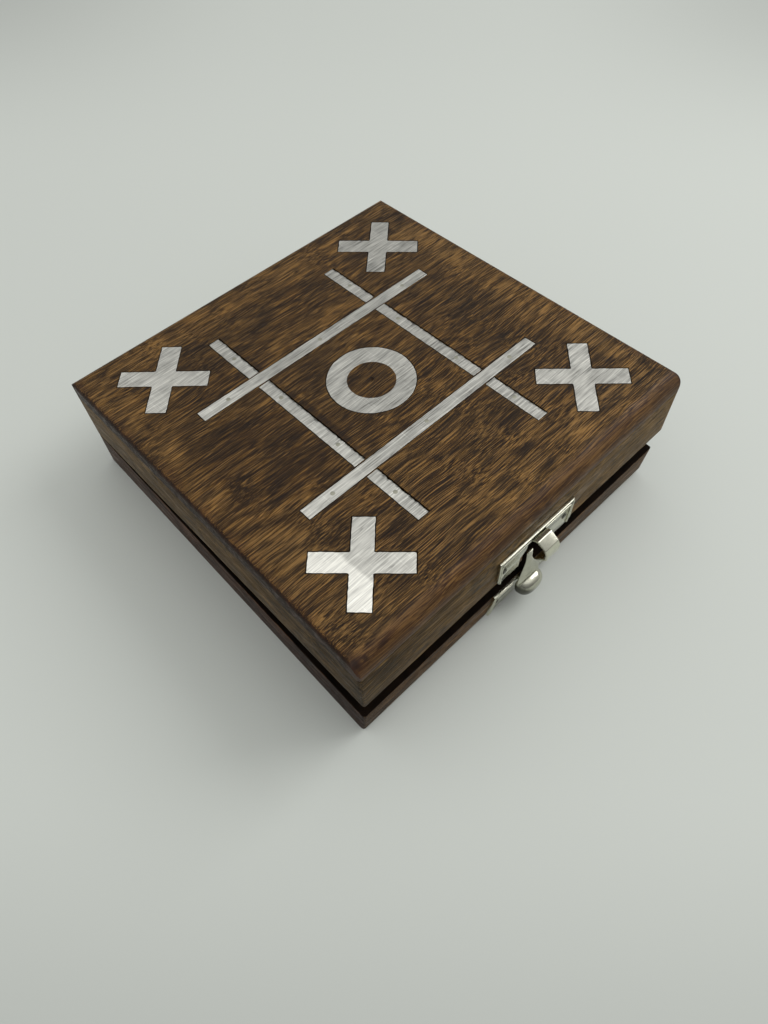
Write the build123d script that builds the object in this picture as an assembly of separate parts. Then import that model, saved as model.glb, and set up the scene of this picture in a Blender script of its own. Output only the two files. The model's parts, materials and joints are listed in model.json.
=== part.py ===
from build123d import *
import math
import os

os.makedirs("parts", exist_ok=True)

# Frame: X along the front, Y from the front (catch) to the back (hinges), Z up.
# The origin is the middle of the underside. Millimetres. The lid is drawn shut and
# then swung open by LID_AJAR about the hinge axis, as it stands in the photograph.

# Box
BOX_SIDE = 127.0
BASE_HEIGHT = 14.0
LID_HEIGHT = 23.2
LID_AJAR = 4.2
SHUT_GAP = 0.2
BASE_SETBACK = 0.5
WALL = 9.0
TOP_PANEL = 5.6
BOTTOM_PANEL = 3.0
UPRIGHT_ROUND = 1.0
TOP_FRONT_ROUND = 5.0
TOP_BACK_ROUND = 2.2
TOP_END_ROUND = 1.4
BASE_FRONT_ROUND = 3.0
EASED_EDGE = 0.4

# Inlays in the lid. They are laid by hand, so each is a little off its nominal place:
# a shift across and along, in mm, and a turn in degrees.
INLAY_DEPTH = 1.2
INLAY_FIT = 0.05
STRIP_WIDTH = 4.25
ROW_LENGTH = 89.0
COLUMN_LENGTH = 90.5
STRIP_SPACING = 46.2
CROSS_FROM_EDGE = 20.1
CROSS_ARM = 27.2
CROSS_WIDTH = 6.4
RING_OUTER = 13.4
RING_INNER = 7.45
INLAY_PIN_RADIUS = 0.65
INLAY_PIN_LENGTH = 4.0
PIN_FROM_MIDDLE = 34.8
PIN_MIDDLE_CELL = 12.3
ROW_LAID = {"front": (0.43, -0.15, 0.0), "back": (0.35, 0.5, -0.35)}
COLUMN_LAID = {"left": (0.0, 0.9, 0.0), "right": (0.45, 0.7, 0.0)}
CROSS_LAID = {"left_front": (-0.2, 0.2, 0.0), "right_front": (-0.1, 0.65, -0.2),
              "left_back": (0.55, 0.7, 0.7), "right_back": (0.45, 0.3, -1.9)}
COLUMN_END_GAP = 0.15
CENTRE_MARK_RADIUS = 0.8
CENTRE_MARK_DEPTH = 0.6

# Playing field in the base
DIVIDER = 3.0
DIVIDER_HEIGHT = 8.0
DIVIDER_FIT = 0.05
PIECE_THICKNESS = 6.0

# Back hinges
HINGE_LENGTH = 22.0
HINGE_FROM_END = 27.5
KNUCKLE_RADIUS = 1.6
KNUCKLE_SIDE_GAP = 0.3
KNUCKLE_CLEARANCE = 0.3
MIDDLE_KNUCKLE = 7.6
LEAF = 0.9
LEAF_HEIGHT = 9.6
HINGE_PIN_RADIUS = 0.8
PIN_RUNNING_FIT = 0.05
HINGE_NAIL_SPACING = 14.0

# Nails
NAIL_RADIUS = 0.65
NAIL_LENGTH = 6.0
NAIL_HEAD_RADIUS = 1.1
NAIL_HEAD = 0.4
SINK_FIT = 0.12
DRILL_FIT = 0.03

# Catch plates
CATCH_OFFSET = 0.4
SHEET = 0.5
RIM_RISE = 0.35
RIM_WIDTH = 2.0
RIM_END_WIDTH = 1.2
RIM_BREAK_HALF = 5.4
LID_PLATE_HALF = 15.3
LID_PLATE_TOP = 11.2
LID_PLATE_HEIGHT = 11.6
PLATE_CORNER = 2.4
LID_PLATE_NAIL_X = 12.6
LID_NAIL_BELOW_TOP = 17.9
BASE_PLATE_TOP_HALF = 13.8
BASE_PLATE_BOTTOM_HALF = 14.9
BASE_PLATE_HEIGHT = 10.8
BASE_PLATE_BELOW_TOP = 0.1
BASE_PLATE_NAIL_X = 11.6
BASE_NAIL_BELOW_TOP = 6.4

# Hook on the lid
HOOK_WIDTH = 5.6
HOOK_SHEET = 0.8
HOOK_REACH = 6.4
HOOK_DROP = 8.65

# Lever on the base
LEVER_SWING = 17.0
LEVER_PIN_RADIUS = 0.6
LEVER_PIN_HALF = 3.8
PIVOT_OUT = 2.2
PIVOT_BELOW_TOP = 3.0
KNOB_RADIUS = 4.7
KNOB_BELOW_PIVOT = 5.9
KNOB_OUT = 5.5
NECK_RISE = 6.5
NOSE_RISE = 12.9
NOSE_LEAN = 3.0
NOSE_SHEET = 1.2
FLARE_HALF = 4.95
NECK_HALF = 1.25
EAR = 0.7
EAR_OUTSIDE = 2.6
EAR_RADIUS = 1.1
LEVER_SLOT = 0.15
CATCH_POCKET = 2.5

HALF = BOX_SIDE / 2
FRONT = -HALF
BASE_FRONT = FRONT + BASE_SETBACK
LID_BOTTOM = BASE_HEIGHT + SHUT_GAP
LID_TOP = LID_BOTTOM + LID_HEIGHT
CEILING = LID_TOP - TOP_PANEL
HINGE_SPACING = BOX_SIDE - 2 * HINGE_FROM_END
CROSS_SPACING = BOX_SIDE - 2 * CROSS_FROM_EDGE
HINGE_Y = HALF + KNUCKLE_RADIUS + KNUCKLE_CLEARANCE
HINGE_Z = BASE_HEIGHT + SHUT_GAP / 2
INNER_HALF = HALF - WALL
PIVOT_Y = BASE_FRONT - PIVOT_OUT
PIVOT_Z = BASE_HEIGHT - PIVOT_BELOW_TOP


def block(x0, x1, y0, y1, z0, z1):
    return Pos((x0 + x1) / 2, (y0 + y1) / 2, (z0 + z1) / 2) * Box(x1 - x0, y1 - y0, z1 - z0)


def polygon(points):
    return make_face(Polyline(*points, close=True))


def along_x(face, x0, x1):
    return extrude(Plane.YZ.offset(x0) * face, x1 - x0)


def along_y(face, y0, y1):
    return extrude(Plane.XZ.offset(-y1) * face, y1 - y0)


def along_z(face, z0, z1):
    return extrude(Plane.XY.offset(z0) * face, z1 - z0)


def rod_x(radius, x0, x1, y, z):
    return Pos((x0 + x1) / 2, y, z) * (Rot(0, 90, 0) * Cylinder(radius, x1 - x0))


def rod_y(radius, y0, y1, x, z):
    return Pos(x, (y0 + y1) / 2, z) * (Rot(90, 0, 0) * Cylinder(radius, y1 - y0))


def rounded_corners(x0, x1, y0, y1, corners):
    face = Pos((x0 + x1) / 2, (y0 + y1) / 2) * Rectangle(x1 - x0, y1 - y0)
    for (cx, cy), radius in corners:
        vertex = face.vertices().sort_by_distance((cx, cy, 0))[0]
        face = fillet(vertex, radius)
    return face


def swung(shape):
    axis = Axis((0, HINGE_Y, HINGE_Z), (1, 0, 0))
    return shape.rotate(axis, -LID_AJAR)


def save(name, shape):
    export_step(shape, f"parts/{name}.step")


def group(solids):
    return Compound(children=solids)


def mitred(outer, front, z0, z1):
    """Four rails with 45 degree ends, cut from the block named outer."""
    inner_front = front + WALL
    sides = {
        "front": [(-HALF, front), (HALF, front), (INNER_HALF, inner_front), (-INNER_HALF, inner_front)],
        "back": [(-HALF, HALF), (HALF, HALF), (INNER_HALF, INNER_HALF), (-INNER_HALF, INNER_HALF)],
        "left": [(-HALF, front), (-HALF, HALF), (-INNER_HALF, INNER_HALF), (-INNER_HALF, inner_front)],
        "right": [(HALF, front), (HALF, HALF), (INNER_HALF, INNER_HALF), (INNER_HALF, inner_front)],
    }
    return {name: outer & along_z(polygon(points), z0, z1) for name, points in sides.items()}


def lid_block():
    plan = along_z(RectangleRounded(BOX_SIDE, BOX_SIDE, UPRIGHT_ROUND), LID_BOTTOM, LID_TOP)
    side = rounded_corners(FRONT, HALF, LID_BOTTOM, LID_TOP,
                           [((FRONT, LID_TOP), TOP_FRONT_ROUND), ((HALF, LID_TOP), TOP_BACK_ROUND),
                            ((FRONT, LID_BOTTOM), EASED_EDGE)])
    end = rounded_corners(-HALF, HALF, LID_BOTTOM, LID_TOP,
                          [((-HALF, LID_TOP), TOP_END_ROUND), ((HALF, LID_TOP), TOP_END_ROUND),
                           ((-HALF, LID_BOTTOM), EASED_EDGE), ((HALF, LID_BOTTOM), EASED_EDGE)])
    return plan & along_x(side, -HALF, HALF) & along_y(end, -HALF, HALF)


def base_block():
    depth = HALF - BASE_FRONT
    plan = Pos(0, BASE_SETBACK / 2, 0) * along_z(
        RectangleRounded(BOX_SIDE, depth, UPRIGHT_ROUND), 0, BASE_HEIGHT)
    side = rounded_corners(BASE_FRONT, HALF, 0, BASE_HEIGHT, [((BASE_FRONT, 0), BASE_FRONT_ROUND)])
    end = rounded_corners(-HALF, HALF, 0, BASE_HEIGHT,
                          [((-HALF, BASE_HEIGHT), EASED_EDGE), ((HALF, BASE_HEIGHT), EASED_EDGE)])
    return plan & along_x(side, -HALF, HALF) & along_y(end, -HALF, HALF)


def bar(x, y, length, width, turn, fit, depth):
    size = (length + 2 * fit, width + 2 * fit)
    return Pos(x, y, LID_TOP - depth / 2) * (Rot(0, 0, turn) * Box(*size, depth))


def cross(fit, thickness):
    arm = Box(CROSS_ARM + 2 * fit, CROSS_WIDTH + 2 * fit, thickness)
    return Rot(0, 0, 45) * arm + Rot(0, 0, -45) * arm


def ring(fit, thickness):
    return Cylinder(RING_OUTER + fit, thickness) - Cylinder(RING_INNER - fit, thickness)


def strips():
    """Name to (centre x, centre y, length, turn) of every straight inlay.

    The two rows go right through. Each column is in three lengths between and beyond them.
    """
    half = STRIP_SPACING / 2
    rows, found = {}, {}
    for row, sign in (("front", -1), ("back", 1)):
        across, along, turn = ROW_LAID[row]
        rows[row] = (along, sign * half + across, turn)
        found[f"inlay_long_{row}"] = (along, sign * half + across, ROW_LENGTH, turn)

    def row_edge(row, x, side):
        along, y, turn = rows[row]
        return y + (x - along) * math.tan(math.radians(turn)) + side * (STRIP_WIDTH / 2 + 2 * INLAY_FIT + COLUMN_END_GAP)

    for column, sign in (("left", -1), ("right", 1)):
        across, along, turn = COLUMN_LAID[column]
        x = sign * half + across
        ends = {"front": (along - COLUMN_LENGTH / 2, row_edge("front", x, -1)),
                "middle": (row_edge("front", x, 1), row_edge("back", x, -1)),
                "back": (row_edge("back", x, 1), along + COLUMN_LENGTH / 2)}
        for part, (y0, y1) in ends.items():
            found[f"inlay_short_{column}_{part}"] = (x, (y0 + y1) / 2, y1 - y0, 90 + turn)
    return found


def inlay_pin_places():
    """Three pins along each row, one in each outer length of a column and two in its middle."""
    half = STRIP_SPACING / 2
    places = []
    for row, sign in (("front", -1), ("back", 1)):
        across, along, turn = ROW_LAID[row]
        for x in (-PIN_FROM_MIDDLE, 0, PIN_FROM_MIDDLE):
            places.append((x, sign * half + across + (x - along) * math.tan(math.radians(turn))))
    for column, sign in (("left", -1), ("right", 1)):
        across = COLUMN_LAID[column][0]
        for y in (-PIN_FROM_MIDDLE, -PIN_MIDDLE_CELL, PIN_MIDDLE_CELL, PIN_FROM_MIDDLE):
            places.append((sign * half + across, y))
    return places


def inlay_pins(fit):
    return [Pos(x, y, LID_TOP - INLAY_PIN_LENGTH / 2) * Cylinder(INLAY_PIN_RADIUS + fit, INLAY_PIN_LENGTH)
            for x, y in inlay_pin_places()]


def tapered_y(near_radius, far_radius, y, into, depth, x, z):
    """A cone with near_radius at the surface y, narrowing to far_radius at depth in the direction of into."""
    taper = Cone(near_radius, far_radius, depth, align=(Align.CENTER, Align.CENTER, Align.MIN))
    return Pos(x, y, z) * (Rot(-90 * into, 0, 0) * taper)


def nail(x, y, z, into):
    """A nail with a sunk head, flush with the metal's surface y, driven in the direction of into."""
    head_y = y + into * (SINK_FIT / 2)
    shank = rod_y(NAIL_RADIUS, min(head_y, y + into * NAIL_LENGTH), max(head_y, y + into * NAIL_LENGTH), x, z)
    return tapered_y(NAIL_HEAD_RADIUS, NAIL_RADIUS, head_y, into, NAIL_HEAD, x, z) + shank


def nail_hole(x, y, z, into):
    return rod_y(NAIL_RADIUS + DRILL_FIT, min(y, y + into * NAIL_LENGTH), max(y, y + into * NAIL_LENGTH), x, z)


def nail_sink(x, y, z, into):
    """The hole and countersink that a nail needs in a plate or leaf whose outer face is y."""
    near = NAIL_HEAD_RADIUS + SINK_FIT + DRILL_FIT
    return tapered_y(near, NAIL_RADIUS + DRILL_FIT, y, into, NAIL_HEAD + SINK_FIT, x, z) + nail_hole(x, y, z, into)


def hinge_nail_places(sign):
    """X and Z of the nails of one leaf row; sign is 1 for the lid leaves and -1 for the base leaves."""
    z = HINGE_Z + sign * LEAF_HEIGHT * 0.62
    return [(s * HINGE_SPACING / 2 + d * HINGE_NAIL_SPACING / 2, z) for s in (-1, 1) for d in (-1, 1)]


def leaf(centre_x, sign):
    """One leaf with its knuckles: sign 1 takes the middle knuckle and goes up, -1 the outer two."""
    outside = HALF + LEAF
    clear = KNUCKLE_RADIUS + 0.4
    z_far = HINGE_Z + sign * LEAF_HEIGHT
    z_near = HINGE_Z + sign * clear
    half = HINGE_LENGTH / 2
    plate = block(centre_x - half, centre_x + half, HALF, outside, min(z_near, z_far), max(z_near, z_far))
    inner = MIDDLE_KNUCKLE / 2
    spans = [(-inner, inner)] if sign > 0 else [(-half, -inner - KNUCKLE_SIDE_GAP), (inner + KNUCKLE_SIDE_GAP, half)]
    for x0, x1 in spans:
        x0, x1 = centre_x + x0, centre_x + x1
        plate += block(x0, x1, HALF, outside, min(HINGE_Z, z_near), max(HINGE_Z, z_near))
        plate += rod_x(KNUCKLE_RADIUS, x0, x1, HINGE_Y, HINGE_Z)
    hole = HINGE_PIN_RADIUS + (PIN_RUNNING_FIT if sign > 0 else 0)
    plate -= rod_x(hole, centre_x - half - 1, centre_x + half + 1, HINGE_Y, HINGE_Z)
    for x, z in hinge_nail_places(sign):
        if abs(x - centre_x) < half:
            plate -= nail_sink(x, outside, z, -1)
    return plate


def hinge_pin(centre_x):
    return rod_x(HINGE_PIN_RADIUS, centre_x - HINGE_LENGTH / 2, centre_x + HINGE_LENGTH / 2, HINGE_Y, HINGE_Z)


def raised_plate(outline, inset, surface):
    """Sheet on the front surface with a raised border; both faces are drawn in X and Z."""
    plate = along_y(outline, surface - SHEET, surface)
    return plate + along_y(outline - inset, surface - SHEET - RIM_RISE, surface - SHEET)


def lid_plate():
    top = LID_TOP - LID_PLATE_TOP
    bottom = top - LID_PLATE_HEIGHT
    outline = rounded_corners(-LID_PLATE_HALF, LID_PLATE_HALF, bottom, top,
                              [((-LID_PLATE_HALF, bottom), PLATE_CORNER), ((LID_PLATE_HALF, bottom), PLATE_CORNER)])
    w = LID_PLATE_HALF - RIM_END_WIDTH
    inset = rounded_corners(-w, w, bottom - 5, top - RIM_WIDTH, [])
    window = HOOK_WIDTH / 2 + 0.7
    wide = window + 2.5
    step = bottom + LID_PLATE_HEIGHT * 0.42
    opening = polygon([(-wide, bottom - 5), (wide, bottom - 5), (wide, step - 1), (window, step + 1.5),
                       (window, top - 0.9), (-window, top - 0.9), (-window, step + 1.5), (-wide, step - 1)])
    plate = raised_plate(outline, inset, FRONT) - along_y(opening, FRONT - 2, FRONT + 2)
    for x in (-LID_PLATE_NAIL_X, LID_PLATE_NAIL_X):
        plate -= nail_sink(x, FRONT - SHEET, LID_TOP - LID_NAIL_BELOW_TOP, 1)
    return plate


def base_plate():
    top = BASE_HEIGHT - BASE_PLATE_BELOW_TOP
    bottom = top - BASE_PLATE_HEIGHT
    a, b = BASE_PLATE_TOP_HALF, BASE_PLATE_BOTTOM_HALF
    outline = polygon([(-a, top), (a, top), (b, bottom), (-b, bottom)])
    r, e = RIM_WIDTH, RIM_END_WIDTH
    inset = polygon([(-a + e, top - r), (a - e, top - r), (b - e, bottom - 5), (-b + e, bottom - 5)])
    inset += Pos(0, top) * Rectangle(2 * RIM_BREAK_HALF, 4 * r)
    plate = raised_plate(outline, inset, BASE_FRONT)
    front = BASE_FRONT - SHEET
    for side in (-1, 1):
        x0, x1 = sorted((side * EAR_OUTSIDE, side * (EAR_OUTSIDE - EAR)))
        plate += block(x0, x1, PIVOT_Y, front + SHEET / 2, PIVOT_Z - EAR_RADIUS, PIVOT_Z + EAR_RADIUS)
        plate += rod_x(EAR_RADIUS, x0, x1, PIVOT_Y, PIVOT_Z)
    plate -= rod_x(LEVER_PIN_RADIUS, -EAR_OUTSIDE - 1, EAR_OUTSIDE + 1, PIVOT_Y, PIVOT_Z)
    for x in (-BASE_PLATE_NAIL_X, BASE_PLATE_NAIL_X):
        plate -= nail_sink(x, BASE_FRONT - SHEET, BASE_HEIGHT - BASE_NAIL_BELOW_TOP, 1)
    return plate


def thick_line(points, thickness):
    """A band on the left of the path through points, with mitred corners."""
    moved = []
    count = len(points)
    for i in range(count):
        directions = []
        if i > 0:
            directions.append((points[i][0] - points[i - 1][0], points[i][1] - points[i - 1][1]))
        if i < count - 1:
            directions.append((points[i + 1][0] - points[i][0], points[i + 1][1] - points[i][1]))
        normals = []
        for dx, dy in directions:
            length = math.hypot(dx, dy)
            normals.append((-dy / length, dx / length))
        nx = sum(n[0] for n in normals)
        ny = sum(n[1] for n in normals)
        share = (nx * normals[0][0] + ny * normals[0][1])
        moved.append((points[i][0] + nx * thickness / share, points[i][1] + ny * thickness / share))
    return polygon(points + moved[::-1])


def hook():
    """Strap through the plate's window: out, over, down and turned in at the end."""
    root = LID_TOP - LID_PLATE_TOP - 1.15
    y = FRONT
    reach, drop = HOOK_REACH, HOOK_DROP
    tip = root - drop + 0.75
    path = [(y + HOOK_SHEET, root), (y - SHEET - RIM_RISE - 0.05, root), (y - 0.24 * reach, root + 0.5),
            (y - 0.44 * reach, root + 0.75), (y - 0.875 * reach, root - 0.95), (y - reach, root - 2.5),
            (y - reach, tip + 3.0), (y - reach + 3.0, tip)]
    half = HOOK_WIDTH / 2
    strap = along_x(thick_line(path, HOOK_SHEET), -half, half)
    tab = block(-half, half, y, y + HOOK_SHEET, root - HOOK_SHEET, root + 0.85)
    return strap + tab


def lever():
    """Flared lever with a round knob, drawn released: its nose leans back towards the box."""
    y, z = PIVOT_Y, PIVOT_Z
    back = y + KNOB_OUT * 0.23
    low = z - KNOB_BELOW_PIVOT
    nose = z + NOSE_RISE
    side = polygon([
        (y - NOSE_SHEET / 4, low), (back, z - NOSE_SHEET), (back, z + NECK_RISE * 0.52),
        (y + NOSE_LEAN * 0.77, z + NECK_RISE), (y + NOSE_LEAN, nose),
        (y + NOSE_LEAN - NOSE_SHEET, nose), (y + NOSE_LEAN * 0.08, nose - NECK_RISE * 0.4),
        (y - NOSE_LEAN * 0.02, nose - NECK_RISE * 0.54), (y + NOSE_LEAN * 0.38, z + NECK_RISE * 1.09),
        (y + NOSE_LEAN * 0.37, z + NECK_RISE * 0.97), (y - NOSE_LEAN * 0.3, z + NECK_RISE * 0.86),
        (y - NOSE_LEAN * 0.45, z + NECK_RISE * 0.45), (y - NOSE_LEAN * 0.45, z - NOSE_SHEET * 0.4),
        (y - KNOB_OUT, z - NOSE_SHEET), (y - KNOB_OUT, low)])
    widths = [(-0.03, 1.0), (0.43, 0.72), (0.86, 0.45), (1.26, 0.31)]
    right = [(FLARE_HALF * w, z + NECK_RISE * h) for h, w in widths] + [(NECK_HALF, nose + 0.1)]
    front = polygon(right + [(-px, pz) for px, pz in reversed(right)])
    crown = Pos(0, y + KNOB_RADIUS, z) * Cylinder(KNOB_RADIUS * 1.29, 6 * KNOB_RADIUS)
    reach = 1.3 * KNOB_RADIUS
    flare = along_x(side, -reach, reach) & along_y(front, y - reach, y + KNOB_RADIUS) & crown
    knob = Pos(0, y + KNOB_RADIUS * 0.19, z - KNOB_RADIUS * 0.21) * Sphere(KNOB_RADIUS)
    knob &= along_x(polygon([(y - reach, low - 0.6), (y - NOSE_SHEET * 0.4, low - 0.6), (back, z - NOSE_SHEET),
                             (back, z + KNOB_RADIUS), (y - reach, z + KNOB_RADIUS)]), -reach, reach)
    body = flare + knob
    slot = EAR_OUTSIDE + LEVER_SLOT
    gap = EAR_RADIUS + LEVER_SLOT
    body -= block(-slot, slot, y - gap - 0.45, y + 3, z - 2 * gap, z + gap + 0.45)
    body -= block(-slot, slot, y - LEVER_SLOT, y + 1.9, z - 2 * gap, z + 2 * gap + 0.5)
    body -= rod_x(LEVER_PIN_RADIUS + PIN_RUNNING_FIT, -LEVER_PIN_HALF - 0.1, LEVER_PIN_HALF + 0.1, y, z)
    return body


def lid_parts():
    outer = lid_block()
    panel = outer & block(-HALF, HALF, -HALF, HALF, CEILING, LID_TOP)
    parts = {f"lid_rail_{k}": v for k, v in mitred(outer, FRONT, LID_BOTTOM, CEILING).items()}
    drilled = inlay_pins(DRILL_FIT)
    inlays = {}
    for name, (x, y, length, turn) in strips().items():
        panel -= bar(x, y, length, STRIP_WIDTH, turn, INLAY_FIT, INLAY_DEPTH)
        inlays[name] = bar(x, y, length, STRIP_WIDTH, turn, 0, INLAY_DEPTH)
    half = CROSS_SPACING / 2
    for name, (across, along, turn) in CROSS_LAID.items():
        x = across + (half if name.startswith("right") else -half)
        y = along + (half if name.endswith("back") else -half)
        spot = Pos(x, y, LID_TOP - INLAY_DEPTH / 2) * Rot(0, 0, turn)
        panel -= spot * cross(INLAY_FIT, INLAY_DEPTH)
        inlays[f"inlay_cross_{name}"] = spot * cross(0, INLAY_DEPTH)
    spot = Pos(0, 0, LID_TOP - INLAY_DEPTH / 2)
    panel -= spot * ring(INLAY_FIT, INLAY_DEPTH)
    inlays["inlay_ring"] = spot * ring(0, INLAY_DEPTH)
    panel -= Pos(0, 0, LID_TOP - CENTRE_MARK_DEPTH / 2) * Cone(
        0.05, CENTRE_MARK_RADIUS, CENTRE_MARK_DEPTH)
    for hole in drilled:
        panel -= hole
    for name in strips():
        for hole in drilled:
            inlays[name] -= hole
    parts["lid_panel"] = panel
    parts.update(inlays)
    parts["inlay_pins"] = group(inlay_pins(0))
    pocket = HOOK_WIDTH / 2 + 1.4
    top = LID_TOP - LID_PLATE_TOP
    rail = parts["lid_rail_front"]
    rail -= Pos(CATCH_OFFSET, 0, 0) * block(
        -pocket, pocket, FRONT - 1, FRONT + CATCH_POCKET, LID_BOTTOM - 1, top - 1.6)
    rail -= Pos(CATCH_OFFSET, 0, 0) * block(
        -HOOK_WIDTH / 2 - 0.2, HOOK_WIDTH / 2 + 0.2, FRONT - 1, FRONT + HOOK_SHEET + 0.1, top - 2.5, top - 0.2)
    catch_nails = []
    for x in (-LID_PLATE_NAIL_X, LID_PLATE_NAIL_X):
        z = LID_TOP - LID_NAIL_BELOW_TOP
        catch_nails.append(nail(x + CATCH_OFFSET, FRONT - SHEET, z, 1))
        rail -= nail_hole(x + CATCH_OFFSET, FRONT - SHEET, z, 1)
    parts["lid_rail_front"] = rail
    parts["lid_catch_plate"] = Pos(CATCH_OFFSET, 0, 0) * lid_plate()
    parts["lid_catch_hook"] = Pos(CATCH_OFFSET, 0, 0) * hook()
    parts["lid_catch_nails"] = group(catch_nails)
    hinge_nails = []
    for x, z in hinge_nail_places(1):
        hinge_nails.append(nail(x, HALF + LEAF, z, -1))
        parts["lid_rail_back"] -= nail_hole(x, HALF + LEAF, z, -1)
    parts["lid_hinge_nails"] = group(hinge_nails)
    parts["hinge_left_lid_leaf"] = leaf(-HINGE_SPACING / 2, 1)
    parts["hinge_right_lid_leaf"] = leaf(HINGE_SPACING / 2, 1)
    return parts


def well_pitch():
    return (2 * INNER_HALF + DIVIDER) / 3


def dividers():
    """Two dividers each way, halved over each other."""
    z0, z1 = BOTTOM_PANEL, BOTTOM_PANEL + DIVIDER_HEIGHT
    middle = (z0 + z1) / 2
    half = DIVIDER / 2
    gap = half + DIVIDER_FIT
    place = well_pitch() / 2
    parts = {}
    for side, s in (("front", -1), ("back", 1)):
        y = s * place
        wall = block(-INNER_HALF, INNER_HALF, y - half, y + half, z0, z1)
        for x in (-place, place):
            wall -= block(x - gap, x + gap, y - DIVIDER, y + DIVIDER, middle, z1 + 1)
        parts[f"divider_long_{side}"] = wall
    for side, s in (("left", -1), ("right", 1)):
        x = s * place
        wall = block(x - half, x + half, BASE_FRONT + WALL, INNER_HALF, z0, z1)
        for y in (-place, place):
            wall -= block(x - DIVIDER, x + DIVIDER, y - gap, y + gap, z0 - 1, middle)
        parts[f"divider_cross_{side}"] = wall
    return parts


def pieces():
    """Five X and four O lying in the nine wells, edges eased."""
    parts = {}
    z = BOTTOM_PANEL + PIECE_THICKNESS / 2
    pitch = well_pitch()
    counts = {"x": 0, "o": 0}
    for row in (-1, 0, 1):
        for column in (-1, 0, 1):
            kind = "x" if (row + column) % 2 == 0 else "o"
            counts[kind] += 1
            shape = cross(0, PIECE_THICKNESS) if kind == "x" else ring(0, PIECE_THICKNESS)
            parts[f"piece_{kind}_{counts[kind]}"] = Pos(column * pitch, row * pitch, z) * shape
    return parts


def base_parts():
    outer = base_block()
    parts = {f"base_rail_{k}": v for k, v in mitred(outer, BASE_FRONT, 0, BASE_HEIGHT).items()}
    parts["base_panel"] = block(-INNER_HALF, INNER_HALF, BASE_FRONT + WALL, INNER_HALF, 0, BOTTOM_PANEL)
    parts.update(dividers())
    catch_nails = []
    for x in (-BASE_PLATE_NAIL_X, BASE_PLATE_NAIL_X):
        z = BASE_HEIGHT - BASE_NAIL_BELOW_TOP
        catch_nails.append(nail(x + CATCH_OFFSET, BASE_FRONT - SHEET, z, 1))
        parts["base_rail_front"] -= nail_hole(x + CATCH_OFFSET, BASE_FRONT - SHEET, z, 1)
    parts["base_catch_nails"] = group(catch_nails)
    parts["base_catch_plate"] = Pos(CATCH_OFFSET, 0, 0) * base_plate()
    parts["catch_lever"] = Pos(CATCH_OFFSET, 0, 0) * lever()
    parts["catch_pin"] = rod_x(LEVER_PIN_RADIUS, CATCH_OFFSET - LEVER_PIN_HALF, CATCH_OFFSET + LEVER_PIN_HALF,
                               PIVOT_Y, PIVOT_Z)
    hinge_nails = []
    for x, z in hinge_nail_places(-1):
        hinge_nails.append(nail(x, HALF + LEAF, z, -1))
        parts["base_rail_back"] -= nail_hole(x, HALF + LEAF, z, -1)
    parts["base_hinge_nails"] = group(hinge_nails)
    for name, x in (("left", -HINGE_SPACING / 2), ("right", HINGE_SPACING / 2)):
        parts[f"hinge_{name}_base_leaf"] = leaf(x, -1)
        parts[f"hinge_{name}_pin"] = hinge_pin(x)
    parts.update(pieces())
    return parts


for part_name, part_shape in base_parts().items():
    save(part_name, part_shape)
for part_name, part_shape in lid_parts().items():
    save(part_name, swung(part_shape))
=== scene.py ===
import json
import math

import bmesh
import bpy
from mathutils import Matrix, Vector, noise

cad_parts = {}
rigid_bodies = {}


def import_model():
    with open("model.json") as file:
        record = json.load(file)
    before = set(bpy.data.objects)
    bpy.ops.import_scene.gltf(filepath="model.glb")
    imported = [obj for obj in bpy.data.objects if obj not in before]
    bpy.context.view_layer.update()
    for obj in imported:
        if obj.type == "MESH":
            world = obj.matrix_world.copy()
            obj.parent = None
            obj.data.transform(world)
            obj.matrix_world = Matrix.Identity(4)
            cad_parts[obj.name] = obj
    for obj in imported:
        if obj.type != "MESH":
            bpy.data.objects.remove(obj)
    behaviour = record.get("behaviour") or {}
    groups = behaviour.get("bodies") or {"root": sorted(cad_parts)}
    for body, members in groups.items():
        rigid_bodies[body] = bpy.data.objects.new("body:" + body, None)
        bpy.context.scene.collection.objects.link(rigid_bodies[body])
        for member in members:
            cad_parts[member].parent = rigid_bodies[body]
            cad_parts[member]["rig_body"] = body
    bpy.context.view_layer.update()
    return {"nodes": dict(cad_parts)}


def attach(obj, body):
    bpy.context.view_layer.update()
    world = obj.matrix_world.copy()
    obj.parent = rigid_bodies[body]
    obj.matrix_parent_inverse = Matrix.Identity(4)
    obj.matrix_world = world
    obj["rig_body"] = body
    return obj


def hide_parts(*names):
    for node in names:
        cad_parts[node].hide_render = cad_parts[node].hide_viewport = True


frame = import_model()

# Millimetres, X along the front, Y from the catch to the hinges, Z up. Pieces of the
# lid are laid out as if it were shut and then swung open by LID_AJAR.
LID_TOP = 37.4
LID_UNDERSIDE = 14.2
BASE_TOP = 14.0
LID_AJAR = math.radians(4.2)
HINGE = Vector((0.0, 65.4, 14.1))
OPENING = Matrix.Translation(HINGE) @ Matrix.Rotation(-LID_AJAR, 4, "X") @ Matrix.Translation(-HINGE)
METRES = Matrix.Scale(0.001, 4)

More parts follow.
